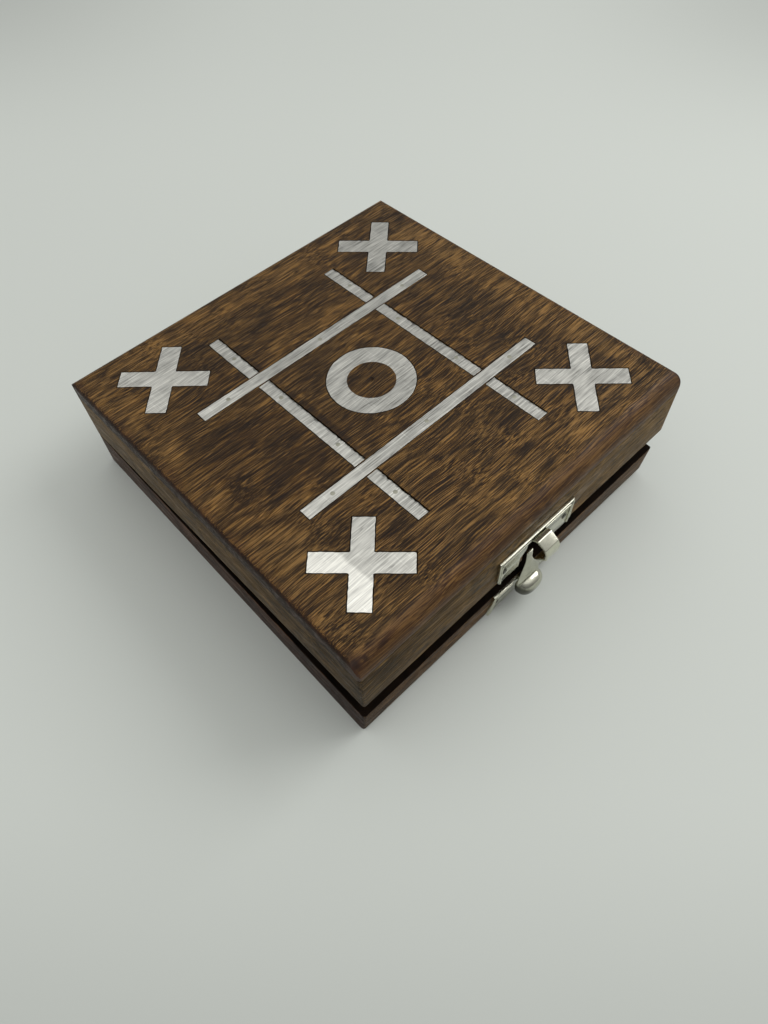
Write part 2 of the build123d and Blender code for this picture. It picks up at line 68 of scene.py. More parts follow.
# Inlays: the strips and crosses as they were laid by hand. Rows and crosses have a
# middle and a turn; columns their X and the Y of their front and back ends. The stain
# line is the gap that shows dark round each inlay.
INLAY_DEPTH = 1.2
RUBBED_EDGE = 0.09
STAIN_LINE = 0.1
STRIP_WIDTH = 4.25
ROW_LENGTH = 89.0
ROWS = {"front": ((-0.15, -22.67), 0.0), "back": ((0.5, 23.45), math.radians(-0.35))}
COLUMNS = {"left": (-23.1, -44.35, 46.15), "right": (23.55, -44.55, 45.95)}
COLUMN_END_GAP = 0.15
CROSS_ARM = 27.2
CROSS_WIDTH = 6.4
CROSSES = {
    "left_front": ((-43.6, -43.2), 0.0),
    "right_front": ((43.3, -42.75), math.radians(-0.2)),
    "left_back": ((-42.85, 44.1), math.radians(0.7)),
    "right_back": ((43.85, 43.7), math.radians(-1.9)),
}
RING_OUTER = 13.4
RING_EYE = 7.15
RING_EYE_PLACE = (-0.1, -0.2)
RING_PROUD = 0.03
RING_CORNERS = 96

# How each inlay's edge was cut: bluntness of its corners, step of the file and its
# depth. The right-hand edges of the columns are torn deeper.
ROW_CUT = (0.2, 0.6, 0.14)
COLUMN_CUT = (0.15, 0.4, 0.14)
CROSS_CUT = (0.35, 0.5, 0.22)
TORN_DEPTH = 0.6
RING_STEP = 2.0
RING_DEPTH = 0.2
EYE_DEPTH = 0.1

# Pins along a row or column from its middle. Pins and nails have a head radius, head
# height, crown, shank radius and shank length.
PIN_PLACES_ON_ROW = (-34.8, 0.0, 34.8)
PIN_PLACES_ON_COLUMN = (-34.8, -12.3, 12.3, 34.8)
PIN_SIZES = (0.7, 0.3, 0.05, 0.5, 3.7)
NAIL_SIZES = (1.08, 0.42, 0.16, 0.6, 5.6)

# The catch: its middle in X, the Y of its plates' faces and of their raised rims, and
# its nails' X from the middle, Y and Z.
CATCH_X = 0.4
PLATE_FACE = {"lid": -64.3, "base": -63.8}
PLATE_RIM = {"lid": -64.35, "base": -63.85}
FRONT_NAILS = {"lid": (12.6, -64.02, 19.5), "base": (11.6, -63.52, 7.6)}

# The hinges at the back: their X, and the Z and Y of their nails.
HINGE_PLACES = (-36, 36)
HINGE_NAIL_HEIGHT = {"lid": 20.05, "base": 8.15}
HINGE_NAIL_Y = 64.42


def linear(r, g, b):
    """A paint colour given in 0 to 255 as the screen shows it, for a shader socket."""
    return tuple(((v / 255 + 0.055) / 1.055) ** 2.4 if v > 10 else v / 255 / 12.92
                 for v in (r, g, b)) + (1.0,)


def node(tree, kind, inputs=None, **settings):
    made = tree.nodes.new(kind)
    for key, value in settings.items():
        setattr(made, key, value)
    for key, value in (inputs or {}).items():
        socket = made.inputs[key]
        if isinstance(value, bpy.types.NodeSocket):
            tree.links.new(value, socket)
        else:
            socket.default_value = value
    return made


def sums(tree, operation, a, b=0.0):
    return node(tree, "ShaderNodeMath", {0: a, 1: b}, operation=operation).outputs[0]


def add(tree, *values):
    total = values[0]
    for value in values[1:]:
        total = sums(tree, "ADD", total, value)
    return total


def times(tree, a, b):
    return sums(tree, "MULTIPLY", a, b)


def between(tree, value, low, high):
    """0 at low, 1 at high, smooth between; low may be the larger."""
    return node(tree, "ShaderNodeMapRange", {"Value": value, "From Min": low, "From Max": high},
                interpolation_type="SMOOTHSTEP").outputs[0]


def about(tree, value, gain):
    """A noise value turned into a push up or down around zero."""
    return times(tree, sums(tree, "SUBTRACT", value, 0.5), gain)


def speckle(tree, vector, scale=1.0, detail=2.0, rough=0.5, distortion=0.0):
    return node(tree, "ShaderNodeTexNoise", {
        "Vector": vector, "Scale": scale, "Detail": detail, "Roughness": rough,
        "Distortion": distortion}).outputs[0]


def stretch(tree, vector, scale, shift=(0, 0, 0), turn=0.0):
    return node(tree, "ShaderNodeMapping", {
        "Vector": vector, "Scale": scale, "Location": shift, "Rotation": (0, 0, turn)}).outputs[0]


def tint(tree, amount, a, b, blend="MIX"):
    return node(tree, "ShaderNodeMix", {0: amount, 6: a, 7: b}, data_type="RGBA", blend_type=blend).outputs[2]


def yellowed(tree, value, blue):
    """A metal's grey with its blue held back a little."""
    return node(tree, "ShaderNodeCombineColor", {
        0: times(tree, value, 1.015), 1: value, 2: times(tree, value, blue)}).outputs[0]


def ramp(tree, value, stops):
    made = node(tree, "ShaderNodeValToRGB", {0: value})
    band = made.color_ramp
    while len(band.elements) < len(stops):
        band.elements.new(0.5)
    for element, (place, colour) in zip(band.elements, stops):
        element.position = place
        element.color = colour
    return made.outputs[0]


def millimetres(tree, on_lid):
    """Object coordinates in mm, with the lid's own pieces turned back to shut."""
    angle = LID_AJAR if on_lid else 0.0
    shift = HINGE - Matrix.Rotation(angle, 3, "X") @ HINGE
    coordinates = node(tree, "ShaderNodeTexCoord").outputs["Object"]
    return node(tree, "ShaderNodeMapping", {
        "Vector": coordinates, "Scale": (1000, 1000, 1000), "Rotation": (angle, 0, 0),
        "Location": shift}).outputs[0]


def axes_of(tree, vector):
    return node(tree, "ShaderNodeSeparateXYZ", {0: vector}).outputs


def blank_material(name):
    made = bpy.data.materials.new(name)
    made.use_nodes = True
    tree = made.node_tree
    tree.nodes.clear()
    out = node(tree, "ShaderNodeOutputMaterial")
    shader = node(tree, "ShaderNodeBsdfPrincipled")
    tree.links.new(shader.outputs[0], out.inputs[0])
    return made, tree, shader


def join(tree, source, shader, name):
    tree.links.new(source, shader.inputs[name])


def dented(tree, shader, height, strength, depth):
    """Bump on the shader; depth in metres."""
    bump = node(tree, "ShaderNodeBump", {"Height": height, "Strength": strength, "Distance": depth})
    join(tree, bump.outputs[0], shader, "Normal")


def matt(shader, roughness, shine):
    shader.inputs["Roughness"].default_value = roughness
    shader.inputs["Specular IOR Level"].default_value = shine


def cloud(tree, x, y, centre, reach, blur):
    """1 inside a soft oval round centre, 0 outside; blur is a noise that makes its edge uneven."""
    across = times(tree, sums(tree, "SUBTRACT", x, centre[0]), 1 / reach[0])
    along = times(tree, sums(tree, "SUBTRACT", y, centre[1]), 1 / reach[1])
    far = sums(tree, "SQRT", add(tree, times(tree, across, across), times(tree, along, along)))
    return between(tree, add(tree, far, about(tree, blur, 1.6)), 1.1, 0.35)


def thread(tree, value, width):
    """Thin lines where a smooth noise crosses its middle."""
    return between(tree, sums(tree, "ABSOLUTE", sums(tree, "SUBTRACT", value, 0.5)), width, width * 0.3)


# The figure of the wood: for each layer of noise its scale per mm along and across
# the grain, its detail, roughness, turn and waviness.
GRAIN = {
    "bands": (0.012, 0.12, 2.0, 0.5, 0.0, 0.2),
    "streaks": (0.025, 0.7, 2.0, 0.6, 0.0, 0.0),
    "strands": (0.06, 3.6, 1.0, 0.5, 0.0, 0.0),
    "fibres": (0.07, 5.2, 1.0, 0.5, 0.0, 0.0),
    "fine_lines": (0.05, 3.2, 1.0, 0.5, 0.015, 0.0),
    "open_lines": (0.045, 2.3, 1.0, 0.6, -0.02, 0.0),
}

# Where the lid's top is darker, lighter or less red, and where its edge is chipped: middle, half size and,
# for the first two, strength. Most spots are the stain's own unevenness; the dark strips just right of the
# left column are painted shadow, and the light strips along the right and front edges are painted highlight.
DARKER = [
    ((-42, 2), (20, 20), 0.14), ((40, 0), (20, 24), 0.06), ((0, 0), (9, 9), 0.12),
    ((0.1, -0.2), (1.4, 1.4), 0.4), ((-61.6, -61.0), (2.2, 2.6), 0.6), ((-52, -61.4), (3.5, 0.9), 0.5),
    ((-20.2, 2), (1.7, 17), 0.32), ((-20.4, 30), (1.2, 8), 0.15), ((-43, -43), (16, 16), 0.07),
    ((43, -43), (15, 15), 0.05), ((-43, 44), (15, 15), 0.07), ((46, -30), (12, 4), 0.1),
    ((-8, -33), (3, 2.5), 0.25), ((-20, -26), (4, 3), 0.15), ((-34, -4), (26, 22), 0.05),
    ((6, 0), (24, 20), 0.05), ((-30, 30), (18, 12), 0.08), ((46, 46), (13, 13), 0.08)]
LIGHTER = [
    ((0, 33), (18, 10), 0.14), ((-58, 8), (5, 30), 0.2), ((-50, -57), (18, 6), 0.3),
    ((-57, 40), (6, 30), 0.2), ((0, 56), (60, 6), 0.1), ((6, -48), (34, 9), 0.16),
    ((10, 55), (50, 7), 0.12), ((-40, 56), (18, 6), 0.16), ((0, 8), (40, 30), 0.03),
    ((57, -5), (9, 60), 0.3), ((57, 32), (7, 20), 0.4), ((-55, -38), (9, 24), 0.3),
    ((10, -54), (60, 6), 0.26), ((0, -33), (60, 8), 0.05)]
LESS_RED = [((0, 33), (20, 12)), ((-58, 8), (6, 32)), ((0, 56), (60, 9)), ((0, -58), (62, 6))]
CHIPPED = [((-62.2, -61.2), (1.8, 2.2)), ((-54.5, -61.8), (3.0, 0.6)), ((-59.5, -61.6), (1.2, 0.8))]

# Colours. A patch colour multiplies the wood's own in broad patches; a wood's shades
# run from dark to light.
RUBBED_WOOD = linear(104, 68, 36)
END_GRAIN = linear(44, 17, 10)
ROUNDED_FRONT = linear(78, 50, 31)
POCKET_PAINTED_SHADE = linear(22, 14, 8)
PORE_STAIN = linear(24, 15, 8)
CHIP_STAIN = linear(30, 14, 9)
STAIN_PATCH = linear(222, 226, 236)
WAX_PATCH = linear(235, 228, 215)
WALNUT = [(0.0, (30, 17, 4)), (0.3, (58, 38, 12)), (0.5, (80, 55, 20)), (0.7, (107, 78, 36)),
          (1.0, (146, 111, 64))]
MAPLE = [(0.0, (150, 112, 70)), (0.3, (172, 134, 88)), (0.5, (186, 149, 102)), (0.7, (198, 163, 117)),
         (1.0, (212, 180, 136))]


def stained(shades, lift=0.0, grey_tint_and_sheen=0.0):
    """A wood's shades as paint: lift brightens them, the last number adds blue and a little green. On the
    side rails lift and grey also paint shade and a grey reflection.
    """
    return [(at, linear(r + lift, g + lift + grey_tint_and_sheen * 0.4, max(1, b + grey_tint_and_sheen))) for at, (r, g, b) in shades]


def stained_wood(name, on_lid, along, seed, stops, patch=STAIN_PATCH, pore=0.5, panel=False,
                 gloss=0.4, shine=0.2, painted_light_gradient=0.0):
    """Open-pored wood under a dark rubbed-in stain, with its grain along x or y."""
    made, tree, shader = blank_material(name)
    place = millimetres(tree, on_lid)
    shifted = stretch(tree, place, (1, 1, 1), (seed * 37.0, seed * 53.0, seed * 11.0))

    def with_grain(lengthwise, across):
        return (lengthwise, across, across) if along == "x" else (across, lengthwise, across)

    sway = node(tree, "ShaderNodeTexNoise", {"Vector": shifted, "Scale": 0.03, "Detail": 2.0}).outputs[1]
    sway = node(tree, "ShaderNodeVectorMath", {0: sway, 1: (0.5, 0.5, 0.5)}, operation="SUBTRACT").outputs[0]
    sway = node(tree, "ShaderNodeVectorMath", {0: sway, "Scale": 3.5}, operation="SCALE").outputs[0]
    flow = node(tree, "ShaderNodeVectorMath", {0: shifted, 1: sway}, operation="ADD").outputs[0]
    figure = {}
    for layer, (lengthwise, across, detail, rough, turn, wavy) in GRAIN.items():
        drawn = stretch(tree, flow, with_grain(lengthwise, across), turn=turn)
        figure[layer] = speckle(tree, drawn, 1.0, detail, rough, wavy)
    broken = speckle(tree, stretch(tree, shifted, with_grain(0.1, 0.45)), 1.0, 2.0, 0.6)
    flecks = speckle(tree, shifted, 0.5, 2.0, 0.6)
    grit = speckle(tree, shifted, 3.2, 1.0, 0.5)
    patches = speckle(tree, shifted, 0.045, 3.0, 0.6, 0.4)
    axes = axes_of(tree, place)
    x, y, z = axes[0], axes[1], axes[2]

    # The last term is a painted light gradient: the tone rises per mm along x or y, darker towards the near
    # corner and lighter away from it.
    tone = add(tree, 0.57, about(tree, figure["bands"], 0.4), about(tree, patches, -0.36),
               about(tree, flecks, 0.08), times(tree, x if along == "x" else y, painted_light_gradient))
    threads = add(tree, about(tree, figure["streaks"], 0.18), about(tree, figure["strands"], 0.95),
                  about(tree, figure["fibres"], 3.4), about(tree, grit, 0.8))
    warm = between(tree, patches, 0.4, 0.6)
    if panel:
        toward_front = times(tree, between(tree, y, -8.0, -48.0), 0.75)
        toward_right = times(tree, between(tree, x, 30.0, 56.0), 0.35)
        threads = times(tree, threads, add(tree, 0.8, toward_front, toward_right))
    tone = add(tree, tone, threads)
    if panel:
        uneven = speckle(tree, stretch(tree, shifted, (0.7, 1.4, 1)), 0.06, 3.0, 0.6)

        def clouded(centre, reach, strength):
            return times(tree, cloud(tree, x, y, centre, reach, uneven), strength)

        for spot in DARKER:
            tone = sums(tree, "SUBTRACT", tone, clouded(*spot))
        for spot in LIGHTER:
            tone = add(tree, tone, clouded(*spot))
        for spot in LESS_RED:
            warm = sums(tree, "SUBTRACT", warm, clouded(*spot, 0.8))
        warm = sums(tree, "MAXIMUM", warm, 0.0)
    colour = ramp(tree, tone, stops)
    colour = tint(tree, times(tree, warm, 0.6), colour, tint(tree, 1.0, colour, patch, "MULTIPLY"))
    lines = sums(tree, "MAXIMUM", thread(tree, figure["fine_lines"], 0.1),
                 thread(tree, figure["open_lines"], 0.08))
    lines = times(tree, times(tree, lines, between(tree, broken, 0.28, 0.56)), pore)
    if panel:
        side = sums(tree, "ABSOLUTE", x)
        rubbed = between(tree, add(tree, side, about(tree, uneven, 7.0)), 60.3, 62.6)
        colour = tint(tree, times(tree, rubbed, 0.3), colour, RUBBED_WOOD)
        end_grain = between(tree, add(tree, side, about(tree, flecks, 0.8)), 62.55, 63.1)
        colour = tint(tree, times(tree, end_grain, 0.85), colour, END_GRAIN)
        front_round = between(tree, sums(tree, "MULTIPLY", y, -1.0), 58.0, 61.0)
        lines = times(tree, lines, sums(tree, "SUBTRACT", 1.0, times(tree, front_round, 0.6)))
        colour = tint(tree, times(tree, front_round, 0.5), colour, ROUNDED_FRONT)
        # Painted shade: the walls and floors of the inlays' pockets are darkened.
        pocket = between(tree, z, LID_TOP - 0.35, LID_TOP - 0.9)
        inner = between(tree, sums(tree, "MAXIMUM", side, sums(tree, "ABSOLUTE", y)), 57.5, 56.5)
        pocket = times(tree, times(tree, pocket, inner), between(tree, z, LID_TOP - 3.4, LID_TOP - 3.0))
        colour = tint(tree, pocket, colour, POCKET_PAINTED_SHADE)
    colour = tint(tree, lines, colour, PORE_STAIN)
    if panel:
        for spot in CHIPPED:
            colour = tint(tree, clouded(*spot, 0.8), colour, CHIP_STAIN)
    join(tree, colour, shader, "Base Color")
    roughness = add(tree, about(tree, figure["streaks"], 0.3), about(tree, flecks, 0.2),
                    times(tree, lines, 0.25), gloss)
    join(tree, roughness, shader, "Roughness")
    shader.inputs["Specular IOR Level"].default_value = shine
    height = add(tree, about(tree, figure["fibres"], 0.5), about(tree, patches, 1.0))
    dented(tree, shader, sums(tree, "SUBTRACT", height, lines), 0.6, 0.00013)
    return made


def sanded_aluminium(name, seed, tone, painted_highlight_half=False, painted_edge_shadow=False):
    """Soft aluminium rubbed flush with the wood: fine lines along x and a few stray scratches."""
    made, tree, shader = blank_material(name)
    place = millimetres(tree, True)
    shifted = stretch(tree, place, (1, 1, 1), (seed * 19.0, seed * 7.0, 0.0))
    fine = speckle(tree, stretch(tree, shifted, (0.14, 3.6, 1.0)), 1.0, 1.0, 0.6)
    coarse = speckle(tree, stretch(tree, shifted, (0.04, 0.7, 1.0)), 1.0, 2.0, 0.6)
    scored = speckle(tree, stretch(tree, shifted, (0.05, 0.9, 1.0), turn=0.02), 1.0, 1.0, 0.5)
    dapple = speckle(tree, shifted, 0.13, 3.0, 0.6)
    stray = speckle(tree, stretch(tree, shifted, (3.5, 0.14, 1.0), turn=0.9), 1.0, 1.0, 0.5)
    value = add(tree, tone, about(tree, fine, 0.8), about(tree, coarse, 0.2), about(tree, dapple, 0.35),
                times(tree, between(tree, stray, 0.66, 0.72), 0.1),
                times(tree, thread(tree, scored, 0.035), -0.11))
    x = axes_of(tree, place)[0]
    value = add(tree, value, -0.03, times(tree, between(tree, x, -14.0, -38.0), 0.11))
    # Painted shadow: the metal darkens within about a millimetre of each column's torn right-hand edge.
    if painted_edge_shadow:
        ragged = about(tree, speckle(tree, shifted, 0.9, 3.0, 0.7), 2.4)
        for centre in [column[0] for column in COLUMNS.values()]:
            inside = add(tree, x, -centre - STRIP_WIDTH / 2, ragged)
            painted_shadow_band = times(tree, between(tree, inside, -1.0, -0.2),
                            between(tree, x, centre + 3.5, centre + 2.5))
            value = times(tree, value, sums(tree, "SUBTRACT", 1.0, times(tree, painted_shadow_band, 0.75)))
    # Painted highlight: the left part of the near cross is made brighter.
    if painted_highlight_half:
        uneven_x = add(tree, x, about(tree, dapple, 3.0))
        value = add(tree, value, times(tree, between(tree, uneven_x, -44.9, -46.3), 0.26))
    join(tree, yellowed(tree, value, 0.92), shader, "Base Color")
    shader.inputs["Metallic"].default_value = 1.0
    join(tree, add(tree, 0.42, about(tree, fine, 0.3), about(tree, dapple, 0.2)), shader, "Roughness")
    dented(tree, shader, add(tree, times(tree, fine, 0.5), times(tree, dapple, 1.2)), 0.4, 0.00006)
    return made


def nickel(name, seed, tone, gloss, painted_shade_low=False):
    """Nickel on stamped steel, a little dull, with spots of dark grime."""
    made, tree, shader = blank_material(name)
    place = millimetres(tree, False)
    shifted = stretch(tree, place, (1, 1, 1), (seed * 19.0, seed * 7.0, 0.0))
    dapple = speckle(tree, shifted, 0.45, 4.0, 0.6)
    fine = speckle(tree, stretch(tree, shifted, (0.5, 3.0, 3.0)), 1.0, 2.0, 0.6)
    spots = between(tree, speckle(tree, shifted, 1.6, 2.0, 0.6), 0.66, 0.76)
    value = add(tree, tone, about(tree, dapple, 0.28))
    # Painted shade and dark reflection: the knob is darkened towards its low, left side.
    if painted_shade_low:
        axes = axes_of(tree, place)
        height = add(tree, axes[2], times(tree, axes[0], 0.55), about(tree, dapple, 2.5))
        value = times(tree, value, add(tree, 0.16, times(tree, between(tree, height, 7.6, 10.4), 0.74)))
    colour = tint(tree, times(tree, spots, 0.5), yellowed(tree, value, 0.82), linear(92, 82, 64))
    join(tree, colour, shader, "Base Color")
    shader.inputs["Metallic"].default_value = 1.0
    join(tree, add(tree, gloss, about(tree, fine, 0.14), times(tree, spots, 0.2)), shader, "Roughness")
    dented(tree, shader, dapple, 0.35, 0.00012)
    return made


def stain_in_edges(name):
    """Stain dried into the rubbed edges of the inlays."""
    made, tree, shader = blank_material(name)
    value = speckle(tree, millimetres(tree, True), 0.9, 2.0, 0.6)
    colour = ramp(tree, value, [(0.35, linear(26, 18, 12)), (0.75, linear(92, 84, 70))])
    join(tree, colour, shader, "Base Color")
    matt(shader, 0.7, 0.2)
    return made


def sooty_stain(name):
    """The faces where lid and base meet, near black and dull: painted shade for the dark gap between lid and
    base.
    """
    made, tree, shader = blank_material(name)
    value = speckle(tree, millimetres(tree, False), 0.4, 3.0, 0.6)
    colour = ramp(tree, value, [(0.3, linear(13, 10, 7)), (0.7, linear(27, 19, 13))])
    join(tree, colour, shader, "Base Color")
    matt(shader, 0.95, 0.04)
    return made


finishes = {
    "lid_panel": stained_wood(
        "walnut_stain_top", True, "x", 1, stained(WALNUT, 1, -6), pore=0.85, panel=True),
    # lid_x to base_y are lit and shaded copies of one walnut: the side rails get lower lifts than the front
    # rails as painted shade, lid_y more grey as a painted grey reflection, and each a painted light gradient.
    "lid_x": stained_wood(
        "walnut_stain_lid_front", True, "x", 2, stained(WALNUT, 6, 3), shine=0.11, painted_light_gradient=0.0034),
    "lid_y": stained_wood(
        "walnut_stain_lid_side", True, "y", 3, stained(WALNUT, 3, 8), shine=0.1, painted_light_gradient=0.0042),
    "base_x": stained_wood(
        "walnut_stain_base_front", False, "x", 4, stained(WALNUT, -8), shine=0.1, painted_light_gradient=0.002),
    "base_y": stained_wood(
        "walnut_stain_base_side", False, "y", 5, stained(WALNUT, -24), shine=0.08, painted_light_gradient=0.0026),
    "inside": stained_wood("thin_stain_inside", False, "x", 6, stained(WALNUT, 14), gloss=0.6),
    "x_piece": stained_wood("waxed_dark_piece", False, "x", 7, stained(WALNUT, -6)),
    "o_piece": stained_wood(
        "waxed_light_piece", False, "x", 8, stained(MAPLE), WAX_PATCH, pore=0.35, gloss=0.45),
    "aluminium": sanded_aluminium("sanded_aluminium", 1, 0.5),
    "aluminium_column": sanded_aluminium("sanded_aluminium_column", 3, 0.5, painted_edge_shadow=True),
    "aluminium_near": sanded_aluminium("sanded_aluminium_near_cross", 2, 0.48, painted_highlight_half=True),
    "pin": nickel("dull_pin_metal", 5, 0.34, 0.45),
    "nickel": nickel("nickel_plate", 1, 0.6, 0.2),
    "nickel_lever": nickel("nickel_lever", 6, 0.56, 0.2, painted_shade_low=True),
    "hinge": nickel("nickel_hinge", 2, 0.55, 0.3),
    "nail": nickel("dark_nail_metal", 3, 0.09, 0.42),
    "grimy_rim": nickel("grimy_plate_rim", 4, 0.2, 0.4),
    "meeting": sooty_stain("sooty_stain"),
    "edge": stain_in_edges("stain_in_edges"),
}


def finish_of(name):
    if name == "lid_panel":
        return "lid_panel"
    if name.startswith("piece_x"):
        return "x_piece"
    if name.startswith("piece_o"):
        return "o_piece"
    if name.startswith("divider") or name == "base_panel":
        return "inside"
    if "_rail_" in name:
        return name.split("_")[0] + ("_x" if name.endswith(("front", "back")) else "_y")
    if "hinge" in name:
        return "hinge"
    return "nickel"


for cad_name, cad_piece in frame["nodes"].items():
    cad_piece.data.materials.clear()
    cad_piece.data.materials.append(finishes[finish_of(cad_name)])


def body_of(cad_name):
    return frame["nodes"][cad_name]["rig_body"]


def stand(name, data):
    """A new object with the mesh, lamp or camera, linked into the scene."""
    made = bpy.data.objects.new(name, data)
    bpy.context.scene.collection.objects.link(made)
    return made


def put(name, mesh, finish, body, *stands_for):
    """A finished mesh becomes a piece on its body, in place of its CAD nodes."""
    mesh.materials.clear()
    mesh.materials.append(finishes[finish])
    made = stand(name, mesh)
    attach(made, body)
    if stands_for:
        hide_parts(*stands_for)


def mark(mesh, body, finish, chosen):
    """A second finish on the faces that chosen picks by middle, in mm, and facing in the shut box."""
    mesh.materials.append(finishes[finish])
    shut = OPENING.inverted() if body == "lid" else Matrix()
    for face in mesh.polygons:
        if chosen(shut @ (face.center * 1000), shut.to_3x3() @ face.normal):
            face.material_index = 1


def opened(body):
    """Turns mm in the shut box into metres on the body as the scene has it."""
    return METRES @ OPENING if body == "lid" else METRES


def all_smooth(mesh):
    for face in mesh.polygons:
        face.use_smooth = True


def baked(thing):
    """The object's mesh with its modifiers worked in; the object itself goes."""
    bpy.context.view_layer.update()
    made = bpy.data.meshes.new_from_object(thing.evaluated_get(bpy.context.evaluated_depsgraph_get()))
    bpy.data.objects.remove(thing)
    return made


def mesh_of(shape, name):
    mesh = bpy.data.meshes.new(name)
    shape.to_mesh(mesh)
    shape.free()
    return mesh


def skirt(shape, low, high):
    """A band of faces from one ring of corners to the next."""
    for i in range(len(low)):
        j = (i + 1) % len(low)
        shape.faces.new((low[i], low[j], high[j], high[i]))


def caps(shape, bottom, top):
    return [shape.faces.new(top), shape.faces.new(bottom[::-1])]


def merged_copy(cad_name):
    shape = bmesh.new()
    shape.from_mesh(frame["nodes"][cad_name].data)
    bmesh.ops.remove_doubles(shape, verts=shape.verts, dist=2e-6)
    bmesh.ops.dissolve_limit(shape, angle_limit=math.radians(0.6), verts=shape.verts, edges=shape.edges)
    return mesh_of(shape, cad_name + "_dressed")


def eased(cad_name, width, segments=2, degrees=30):
    """The CAD solid's shape with its sharp edges rubbed round, width in mm."""
    thing = stand(cad_name + "_eased", merged_copy(cad_name))
    edge = thing.modifiers.new("rubbed_edges", "BEVEL")
    edge.width = width / 1000
    edge.segments = segments
    edge.limit_method = "ANGLE"
    edge.angle_limit = math.radians(degrees)
    edge.use_clamp_overlap = True
    edge.harden_normals = True
    all_smooth(thing.data)
    mesh, body = baked(thing), body_of(cad_name)
    put(cad_name + "_eased", mesh, finish_of(cad_name), body, cad_name)

    def on_rim(middle, facing):
        return abs(middle.y - PLATE_RIM[body]) < 0.06 and facing.y < -0.8

    def on_meeting_face(middle, facing):
        level = LID_UNDERSIDE if body == "lid" else BASE_TOP
        return abs(middle.z - level) < 0.12 and abs(facing.z) > 0.6

    # Painted shade: the raised rim band of each catch plate is darker than the plate.
    if cad_name.endswith("catch_plate"):
        mark(mesh, body, "grimy_rim", on_rim)
    # Painted shade: the faces where lid and base meet are near black.
    if "_rail_" in cad_name:
        mark(mesh, body, "meeting", on_meeting_face)


def turned(points, centre, angle):
    c, s = math.cos(angle), math.sin(angle)
    return [(centre[0] + c * x - s * y, centre[1] + s * x + c * y) for x, y in points]


def full_turn(count, way=1):
    """Angles once round, clockwise where way is -1."""
    return [way * k * math.tau / count for k in range(count)]


def around(centre, radius, angles):
    return [(centre[0] + radius * math.cos(a), centre[1] + radius * math.sin(a)) for a in angles]


def blunt(corners, radius):
    """The polygon with each corner, outward or inward, rounded a little."""
    steps = 3
    out = []
    for i, corner in enumerate(corners):
        here = Vector(corner)
        before = (Vector(corners[i - 1]) - here).normalized()
        after = (Vector(corners[(i + 1) % len(corners)]) - here).normalized()
        start, end = here + before * radius, here + after * radius
        for k in range(steps + 1):
            t = k / steps
            out.append(tuple(start * (1 - t) ** 2 + here * 2 * t * (1 - t) + end * t ** 2))
    return out


def filed(outline, step, shallow, seed, deep=None):
    """The outline cut by hand: points every step, each drawn in a little, more where deep says."""
    out = []
    for i, start in enumerate(outline):
        a, b = Vector(start), Vector(outline[(i + 1) % len(outline)])
        run = (b - a).length
        inward = Vector((a.y - b.y, b.x - a.x)).normalized()
        amount = max(shallow, deep(-inward) if deep else 0.0)
        count = max(1, round(run / step))
        for k in range(count):
            p = a + (b - a) * (k / count)
            at = Vector((p.x * 0.9, p.y * 0.9, seed * 7.3))
            cut = 0.5 + 0.5 * noise.noise(at) + 0.35 * noise.noise(at * 3.1)
            out.append(tuple(p + inward * amount * min(1.0, max(0.0, cut))))
    return out


def drawn_in(outline, amount):
    """The outline with every point moved inward by amount."""
    out = []
    for i, p in enumerate(outline):
        before, here, after = Vector(outline[i - 1]), Vector(p), Vector(outline[(i + 1) % len(outline)])
        run = after - before
        inward = Vector((-run.y, run.x)).normalized()
        out.append(tuple(here + inward * amount))
    return out


def inlay_plate(name, outline, hole=None, proud=0.0, finish="aluminium"):
    """A flat inlay let into the lid, its top edges rubbed round; hole runs round the other way."""
    shape = bmesh.new()
    top, bottom = LID_TOP + proud, LID_TOP - INLAY_DEPTH
    loops = []
    for ring in [outline] + ([hole] if hole else []):
        levels = [(ring, bottom), (ring, top - RUBBED_EDGE),
                  (drawn_in(ring, RUBBED_EDGE * 0.35), top - RUBBED_EDGE * 0.3),
                  (drawn_in(ring, RUBBED_EDGE), top)]
        loops.append([[shape.verts.new((x, y, z)) for x, y in line] for line, z in levels])
    for levels in loops:
        for low, high in zip(levels, levels[1:]):
            skirt(shape, low, high)
    if hole:
        outer, inner = loops
        count = len(outer[0])
        for i in range(count):
            j = (i + 1) % count
            shape.faces.new((outer[-1][i], outer[-1][j], inner[-1][-j % count], inner[-1][-i % count]))
            shape.faces.new((outer[0][j], outer[0][i], inner[0][-i % count], inner[0][-j % count]))
    else:
        flats = caps(shape, loops[0][0], loops[0][-1])
        shape.normal_update()
        bmesh.ops.triangulate(shape, faces=flats)
    shape.normal_update()
    for face in shape.faces:
        face.smooth = abs(face.normal.z) < 0.99
    shape.transform(opened("lid"))
    mesh = mesh_of(shape, name)
    put(name + "_plate", mesh, finish, "lid", name)
    mark(mesh, "lid", "edge", lambda middle, facing: facing.z < 0.9)


def rectangle(x0, x1, y0, y1):
    return [(x0, y0), (x1, y0), (x1, y1), (x0, y1)]


def cross_outline():
    a, w = CROSS_ARM / 2 - STAIN_LINE, CROSS_WIDTH / 2 - STAIN_LINE
    return [(w, -w), (a, -w), (a, w), (w, w), (w, a), (-w, a),
            (-w, w), (-a, w), (-a, -w), (-w, -w), (-w, -a), (w, -a)]


